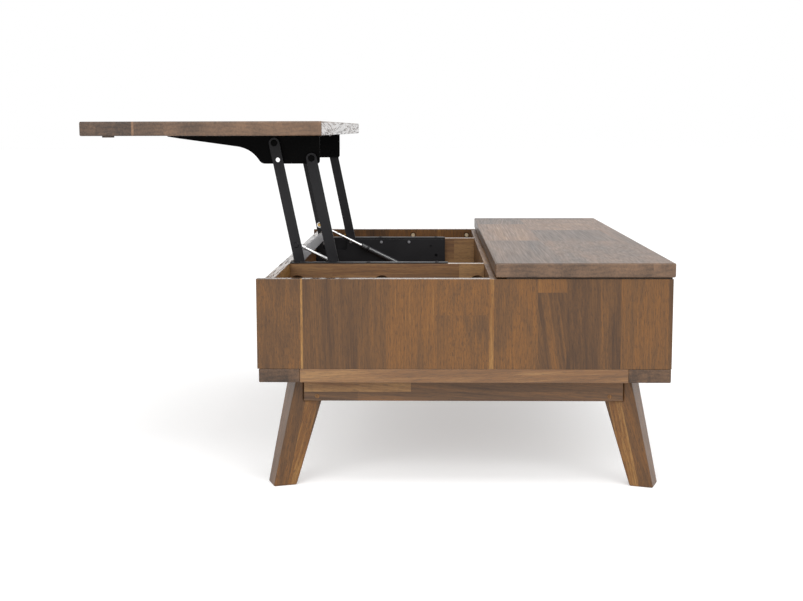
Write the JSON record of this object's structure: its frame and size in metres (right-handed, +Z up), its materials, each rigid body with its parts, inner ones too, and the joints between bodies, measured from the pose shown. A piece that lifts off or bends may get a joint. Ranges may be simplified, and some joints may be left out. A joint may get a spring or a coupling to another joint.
{
  "type": "lift top coffee table",
  "caption": "Low wooden coffee table on splayed legs; part of its top swings up and out on steel arms over a storage well.",
  "frame": {"origin": "floor, at the bottom centre of the table's box with its moving top raised; the table's own centre line is 0.156 m towards +X", "axes": "+Y along the length of the table, +Z up, the moving top swings out towards -X"},
  "size_m": [1.0808, 1.219, 0.687],
  "materials": {
    "top_wood": "satin lacquered solid wood, boards along the length, end grain on the short edges",
    "case_wood": "satin lacquered solid wood staves, mixed brown and honey",
    "leg_wood": "satin lacquered solid wood, grain along the leg",
    "apron_wood": "satin lacquered laminated wood, dark lower and light upper lamination",
    "rail_wood": "satin lacquered laminated wood",
    "end_grain_wood": "dark wood with its end grain showing",
    "black_steel": "black powder-coated pressed steel",
    "matt_black_steel": "matt black painted steel",
    "strut_steel": "gloss black painted tube",
    "grey_steel": "light grey painted steel",
    "chromed_rod": "polished rod",
    "pale_plastic": "cream moulded plastic",
    "zinc_steel": "zinc plated rivets and fittings",
    "brass_stud": "yellow passivated studs",
    "rubber_pad": "soft dark pads"
  },
  "bodies": {
    "case": {"end_panel_near": "case_wood", "end_panel_far": "case_wood", "side_panel_left": "case_wood", "side_panel_right": "case_wood", "centre_divider": "case_wood", "cross_board_near": "case_wood", "cross_board_far": "case_wood", "bottom_panel": "case_wood", "leg_near_left": "leg_wood", "leg_near_right": "leg_wood", "leg_far_left": "leg_wood", "leg_far_right": "leg_wood", "apron_near": "apron_wood", "apron_far": "apron_wood", "apron_left": "apron_wood", "apron_right": "apron_wood", "bottom_rail_left": "end_grain_wood", "bottom_rail_right": "end_grain_wood", "bottom_rail_near": "rail_wood", "bottom_rail_far": "rail_wood", "fixed_top": "top_wood", "fixed_top_spacer_near": "rubber_pad", "fixed_top_spacer_far": "rubber_pad", "connector_near_1": "pale_plastic", "connector_near_2": "pale_plastic", "connector_far_1": "pale_plastic", "connector_far_2": "pale_plastic", "base_channel_near": "black_steel", "base_channel_far": "black_steel", "lower_pivot_1_near": "zinc_steel", "lower_pivot_2_near": "zinc_steel", "lower_pivot_1_far": "zinc_steel", "lower_pivot_2_far": "zinc_steel"},
    "first_arms": {"first_arm_near": "black_steel", "first_arm_far": "black_steel", "tie_bar": "grey_steel", "strut_stud_near": "brass_stud", "strut_stud_far": "brass_stud"},
    "second_arms": {"second_arm_near": "black_steel", "second_arm_far": "black_steel"},
    "moving_top": {"lift_top": "top_wood", "top_bracket_near": "matt_black_steel", "top_bracket_far": "matt_black_steel", "upper_pivot_1_near": "matt_black_steel", "upper_pivot_2_near": "matt_black_steel", "upper_pivot_1_far": "matt_black_steel", "upper_pivot_2_far": "matt_black_steel", "bumper_near": "rubber_pad", "bumper_far": "rubber_pad"},
    "strut_rods": {"strut_rod_near": "chromed_rod", "strut_rod_far": "chromed_rod"},
    "strut_cylinders": {"strut_cylinder_near": "strut_steel", "strut_cylinder_far": "strut_steel", "strut_foot_pin_near": "brass_stud", "strut_foot_pin_far": "brass_stud"}
  },
  "joints": [
    {"name": "lift_swing", "type": "hinge", "parent": "case", "child": "first_arms", "pos_m": [-0.17309, 0, 0.39], "axis": [0, 1, 0], "range_deg": [0, 102]},
    {"name": "second_arm_swing", "type": "hinge", "parent": "case", "child": "second_arms", "pos_m": [-0.09709, 0, 0.359], "axis": [0, 1, 0], "range_deg": [0, 102]},
    {"name": "top_keeps_level", "type": "hinge", "parent": "first_arms", "child": "moving_top", "pos_m": [-0.22492, 0, 0.64478], "axis": [0, 1, 0], "range_deg": [-102, 0]},
    {"name": "strut_stud_pivot", "type": "hinge", "parent": "first_arms", "child": "strut_rods", "pos_m": [-0.18246, 0, 0.43606], "axis": [0, 1, 0], "range_deg": [-106.46, 0]},
    {"name": "strut_stroke", "type": "slide", "parent": "strut_rods", "child": "strut_cylinders", "axis": [0.8965, 0, -0.443], "range_m": [-0.0707, 0]}
  ],
  "couplings": [
    {"joint": "second_arm_swing", "follows": "lift_swing", "ratio": 1},
    {"joint": "top_keeps_level", "follows": "lift_swing", "ratio": -1},
    {"joint": "strut_stud_pivot", "follows": "lift_swing", "ratio": -1.0428},
    {"joint": "strut_stroke", "follows": "lift_swing", "m_per_rad": -0.039593}
  ]
}
